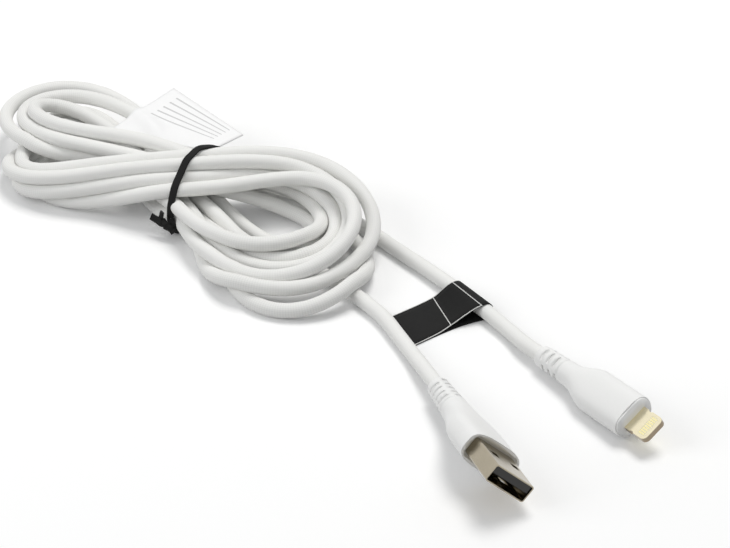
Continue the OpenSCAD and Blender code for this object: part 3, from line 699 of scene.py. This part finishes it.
def tie_way():
    """The whole ribbon from tip to tip: tail, twist, up the front, over, down the rear,
    back underneath, twist, tail."""
    over = TIE_T / 2
    across = np.array((1.0, 0, 0))
    before, after = cord_line[:-1], cord_line[1:]
    loop = []
    for a in np.arange(180, -156, -3):
        x = TIE_X + np.interp(a, SLIP_TURNS, (TIE_SLIP, 0))
        runs = ((before + after) / 2)[(before[:, 0] - x) * (after[:, 0] - x) <= 0][:, 1:]
        out = np.array((math.cos(math.radians(a)), math.sin(math.radians(a))))
        loop.append((x, *(runs[np.argmax(runs @ out)] + out * (CORD_R + over + TIE_CLEAR))))
    loop = evenly(np.array(loop), TIE_GAP)
    for _ in range(3):
        loop[1:-1] = 0.25 * loop[:-2] + 0.5 * loop[1:-1] + 0.25 * loop[2:]
    loop[:, 2] = np.maximum(loop[:, 2], over + 0.05)
    # From the rear and underneath, the ribbon comes back evenly to where it began
    rear = loop[:, 1].argmax()
    loop[rear:, 0] = TIE_X + TIE_SLIP * (loop[rear:, 1] - loop[-1, 1]) / (loop[rear, 1] - loop[-1, 1])
    ahead = np.gradient(loop, axis=0)
    outward = unit_rows(np.stack([np.zeros(len(loop)), -ahead[:, 2], ahead[:, 1]], 1))
    loop_flat = unit_rows(np.cross(ahead, outward)).tolist()
    loop = loop.tolist()
    front_y = loop[0][1]
    lead_in = [(-38.3, 9.9, 3.9), (-39.2, 10.6, 4.4), (TIE_X + 0.1, front_y, 5.3)]
    lead_out = [(-39.4, 10.5, 2.5), (-38.4, 9.6, 2.7)]
    first, first_flat = twist_way(math.radians(80))
    second, second_flat = twist_way(math.radians(260))
    tail_a = [(-44.9, 10.2, 5.2), (-44.0, 10.1, 4.9), (-42.9, 9.9, 4.7)]
    tail_b = [(-42.0, 10.2, 5.2), (-42.0, 10.5, 6.1), (-41.9, 10.8, 7.0)]
    points = tail_a + first[::-1] + lead_in + loop + lead_out + second + tail_b
    flats = ([first_flat[-1]] * 3 + first_flat[::-1] + [across] * len(lead_in) + loop_flat
             + [across] * len(lead_out) + second_flat + [second_flat[-1]] * 3)
    return np.array(points), np.array(flats)


SATIN = grained("black_satin", (0.010, 0.010, 0.010), (0.018, 0.018, 0.018), 0.75, 900, 0.00003)
SATIN.node_tree.nodes["Principled BSDF"].inputs["Specular IOR Level"].default_value = 0.12
tie_points, tie_flats = tie_way()
tie_points = rounded_line(tie_points, TIE_STEPS)
flat_at = np.arange(len(tie_points)) / TIE_STEPS
tie_flats = unit_rows(np.stack([np.interp(flat_at, np.arange(len(tie_flats)), column)
                                for column in tie_flats.T], 1))
tie_path = bpy.data.meshes.new("tie_path")
tie_edges = [(i, i + 1) for i in range(len(tie_points) - 1)]
tie_path.from_pydata((tie_points * MM).tolist(), tie_edges, [])
tie_turn = tie_path.attributes.new("turn", "FLOAT", "POINT")
tie_turn.data.foreach_set("value", turns_for(tie_points, tie_flats))
ribbon_along = ribbon_tree()
tie_band = grown("tie_band", tie_path, ribbon_along,
                 {"Width": TIE_W * MM, "Thickness": TIE_T * MM, "Finish": SATIN})
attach(tie_band, "root")
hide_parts("tie_ribbon", "tie_twist")
tie_core = grown("tie_core", tie_path.copy(), ribbon_along,
                 {"Width": TIE_WIRE_D * MM, "Thickness": TIE_WIRE_D * MM, "Finish": STEEL})
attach(tie_core, "root")
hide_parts("tie_wire")


# ---------- The flag tag ----------
# A black satin strip folded round the cord and glued to itself, so it stands out as a flag
# and lies on the table. White threads whip its edges and cross it twice near the cord.

TAG_T = 0.2
TAG_STEPS = 6              # places drawn between two edge places
THREAD_LIFT = 0.08         # of the edge threads above the middle of the sheet
# The strip's far and near edge, from the lower leaf's end round the cord to the upper leaf's
TAG_FAR = [(27.0, -0.1, 0.12), (30.4, 6.4, 0.12), (34.0, 13.0, 0.12), (36.2, 14.9, 0.14), (37.6, 16.2, 0.16),
           (38.5, 17.8, 0.75), (38.8, 18.3, 2.3), (38.3, 17.4, 3.95), (37.6, 16.2, 4.45), (36.5, 15.1, 4.0),
           (35.0, 14.1, 2.4), (33.6, 12.8, 0.85), (31.8, 9.5, 0.42), (29.6, 5.2, 0.36), (26.9, 0.0, 0.36)]
TAG_NEAR = [(36.9, -9.1, 0.12), (39.9, -3.2, 0.12), (43.9, 4.0, 0.12), (46.6, 7.6, 0.14), (48.6, 10.0, 0.16),
            (49.4, 11.5, 0.75), (49.6, 12.0, 2.3), (49.1, 11.2, 3.95), (48.4, 9.9, 4.45), (46.9, 8.2, 4.1),
            (45.0, 5.9, 2.9), (42.8, 3.0, 1.3), (41.0, -0.6, 0.5), (39.2, -4.4, 0.36), (36.9, -9.2, 0.36)]
TAG_LINES = (8.5, 11.3)    # the two crossing threads, in places along the edges


def leaf(name, rows, thick):
    """A thin closed sheet over a grid of places, with its run along it in its UV map."""
    rows = np.asarray(rows, float)
    out = unit_rows(np.cross(np.gradient(rows, axis=0), np.gradient(rows, axis=1)))
    run = run_length(rows.mean(1))
    rings = np.concatenate([rows + out * thick / 2, (rows - out * thick / 2)[:, ::-1]], 1)
    return skin(name, rings, run), out


tag_far, tag_near = rounded_line(TAG_FAR, TAG_STEPS), rounded_line(TAG_NEAR, TAG_STEPS)
tag_share = np.linspace(0, 1, 9)[None, :, None]
tag_rows = tag_far[:, None] * (1 - tag_share) + tag_near[:, None] * tag_share
flag, flag_out = leaf("flag", tag_rows, TAG_T)
flag.data.materials.append(SATIN)
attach(flag, "root")
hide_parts("flag_tag")


def stitch_tree():
    """Lays short round stitches one behind another along every line of a start mesh."""
    tree, given, out = geometry_tree("stitches_along", (
        ("Pitch", "NodeSocketFloat", 0.0005), ("Length", "NodeSocketFloat", 0.0005),
        ("Thickness", "NodeSocketFloat", 0.00025), ("Finish", "NodeSocketMaterial", None)))
    way = node(tree, "GeometryNodeMeshToCurve")
    tree.links.new(given.outputs["Geometry"], way.inputs["Mesh"])
    spots = node(tree, "GeometryNodeCurveToPoints", mode="LENGTH")
    tree.links.new(way.outputs[0], spots.inputs["Curve"])
    tree.links.new(given.outputs["Pitch"], spots.inputs["Length"])
    thread = node(tree, "GeometryNodeMeshIcoSphere", {"Radius": 0.5, "Subdivisions": 1})
    laid = node(tree, "GeometryNodeInstanceOnPoints")
    size = node(tree, "ShaderNodeCombineXYZ")
    for socket, value in (("X", "Thickness"), ("Y", "Thickness"), ("Z", "Length")):
        tree.links.new(given.outputs[value], size.inputs[socket])
    tree.links.new(spots.outputs["Points"], laid.inputs["Points"])
    tree.links.new(thread.outputs["Mesh"], laid.inputs["Instance"])
    tree.links.new(spots.outputs["Rotation"], laid.inputs["Rotation"])
    tree.links.new(size.outputs[0], laid.inputs["Scale"])
    whole = node(tree, "GeometryNodeRealizeInstances")
    tree.links.new(laid.outputs[0], whole.inputs[0])
    dressed = node(tree, "GeometryNodeSetMaterial")
    tree.links.new(whole.outputs[0], dressed.inputs["Geometry"])
    tree.links.new(given.outputs["Finish"], dressed.inputs["Material"])
    tree.links.new(dressed.outputs[0], out.inputs["Geometry"])
    return tree


def tag_thread_lines():
    """The whipped edges of the upper leaf and the two threads that cross it."""
    lines = []
    leaf_from = int(TAG_LINES[0] * TAG_STEPS)
    for column in (0, -1):
        lines.append(tag_rows[leaf_from:, column] + flag_out[leaf_from:, column] * THREAD_LIFT)
    lines.append(tag_rows[-1] + flag_out[-1] * THREAD_LIFT)
    for place in TAG_LINES:
        row = int(place * TAG_STEPS)
        lines.append(tag_rows[row] + flag_out[row] * TAG_T / 2)
    return lines


THREAD = grained("white_thread", (0.74, 0.74, 0.72), (0.82, 0.82, 0.80), 0.6, 2500, 0.00002)
thread_mesh = bpy.data.meshes.new("thread_lines")
thread_places, thread_edges = [], []
for line in tag_thread_lines():
    thread_edges += [(len(thread_places) + i, len(thread_places) + i + 1) for i in range(len(line) - 1)]
    thread_places += (line * MM).tolist()
thread_mesh.from_pydata(thread_places, thread_edges, [])
flag_threads = grown("flag_threads", thread_mesh, stitch_tree(),
                     {"Pitch": 0.00032, "Length": 0.00044, "Thickness": 0.0003, "Finish": THREAD})
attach(flag_threads, "root")


# ---------- The paper label ----------
# A thin white paper label, laid on the rear runs of the hank. Its near edge stops behind
# the front runs; no run lies over it. It carries a block of five plain, equal grey rules.

LABEL_T = 0.3
# Near left, near right, far left and far right corner
LABEL_NEAR = ((-71.5, 35.5, 10.6), (-40.5, 34.5, 12.6))
LABEL_FAR = ((-64.3, 59.0, 13.6), (-36.8, 46.6, 12.2))
LABEL_CLEAR = 0.1          # between the label and the runs it lies on
# The rules: how many, where the first starts, their pitch and width, as shares of the way
# round the sheet; how dark they are; and from where to where they run along it, in mm
RULES, RULE_FROM, RULE_PITCH, RULE_W = 5, 0.22, 0.05, 0.012
RULE_INK = 0.35
RULE_LEFT, RULE_RIGHT = 4.0, 26.0


def label_rows():
    """The sheet between its corners, lifted clear of the runs below it."""
    s = np.linspace(0, 1, 31)[:, None, None]
    t = np.linspace(0, 1, 25)[None, :, None]
    near = np.array(LABEL_NEAR[0]) * (1 - s) + np.array(LABEL_NEAR[1]) * s
    far = np.array(LABEL_FAR[0]) * (1 - s) + np.array(LABEL_FAR[1]) * s
    rows = near * (1 - t) + far * t
    clear = CORD_R + LABEL_T / 2 + LABEL_CLEAR
    away = rows[:, :, None, :2] - cord_line[None, None, :, :2]
    apart = np.hypot(away[..., 0], away[..., 1])
    bulge = np.sqrt(np.maximum(clear ** 2 - apart ** 2, 0))
    floor_z = np.where(apart < clear, cord_line[:, 2] + bulge, 0).max(2)
    z = rows[:, :, 2]
    for _ in range(12):
        padded = np.pad(z, 1, mode="reflect", reflect_type="odd")
        z = 0.5 * z + 0.125 * (padded[:-2, 1:-1] + padded[2:, 1:-1] + padded[1:-1, :-2] + padded[1:-1, 2:])
        z = np.maximum(z, floor_z)
    rows[:, :, 2] = z
    return rows


label_grid = label_rows()
label, _ = leaf("label", label_grid, LABEL_T)


def ruled_paper():
    """White paper with a block of plain grey rules that run along it."""
    material, tree, shader = new_material("ruled_paper")
    place = node(tree, "ShaderNodeTexCoord")
    fibre = node(tree, "ShaderNodeTexNoise", {"Scale": 900.0, "Detail": 4.0})
    tree.links.new(place.outputs["Object"], fibre.inputs["Vector"])
    paper = node(tree, "ShaderNodeMix", data_type="RGBA")
    paper.inputs[6].default_value = (0.92, 0.92, 0.92, 1)
    paper.inputs[7].default_value = (0.95, 0.95, 0.95, 1)
    tree.links.new(fibre.outputs["Fac"], paper.inputs[0])
    way = node(tree, "ShaderNodeSeparateXYZ")
    tree.links.new(node(tree, "ShaderNodeUVMap", uv_map="way").outputs[0], way.inputs[0])
    rules = node(tree, "ShaderNodeValToRGB")
    ramp = rules.color_ramp
    ramp.interpolation = "CONSTANT"
    marks = [(0.0, 0)]
    for k in range(RULES):
        start = RULE_FROM + RULE_PITCH * k
        marks += [(start, RULE_INK), (start + RULE_W, 0)]
    for i, (at, ink) in enumerate(marks):
        stop = ramp.elements[i] if i < 2 else ramp.elements.new(at)
        stop.position = at
        stop.color = (ink, ink, ink, 1)
    tree.links.new(way.outputs[0], rules.inputs[0])
    from_left = node(tree, "ShaderNodeMath", {1: RULE_LEFT}, operation="GREATER_THAN")
    to_right = node(tree, "ShaderNodeMath", {1: RULE_RIGHT}, operation="LESS_THAN")
    inked = node(tree, "ShaderNodeMath", operation="MULTIPLY")
    tree.links.new(way.outputs[1], from_left.inputs[0])
    tree.links.new(way.outputs[1], to_right.inputs[0])
    tree.links.new(from_left.outputs[0], inked.inputs[0])
    tree.links.new(to_right.outputs[0], inked.inputs[1])
    share = node(tree, "ShaderNodeMath", operation="MULTIPLY")
    tree.links.new(inked.outputs[0], share.inputs[0])
    tree.links.new(rules.outputs[0], share.inputs[1])
    printed = node(tree, "ShaderNodeMix", data_type="RGBA")
    printed.inputs[7].default_value = (0.03, 0.03, 0.03, 1)
    tree.links.new(share.outputs[0], printed.inputs[0])
    tree.links.new(paper.outputs[2], printed.inputs[6])
    tree.links.new(printed.outputs[2], shader.inputs["Base Color"])
    bump = node(tree, "ShaderNodeBump", {"Strength": 0.3, "Distance": 0.00002})
    tree.links.new(fibre.outputs["Fac"], bump.inputs["Height"])
    tree.links.new(bump.outputs[0], shader.inputs["Normal"])
    shader.inputs["Roughness"].default_value = 0.7
    return material


label.data.materials.append(ruled_paper())
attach(label, "root")
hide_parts("paper_label")
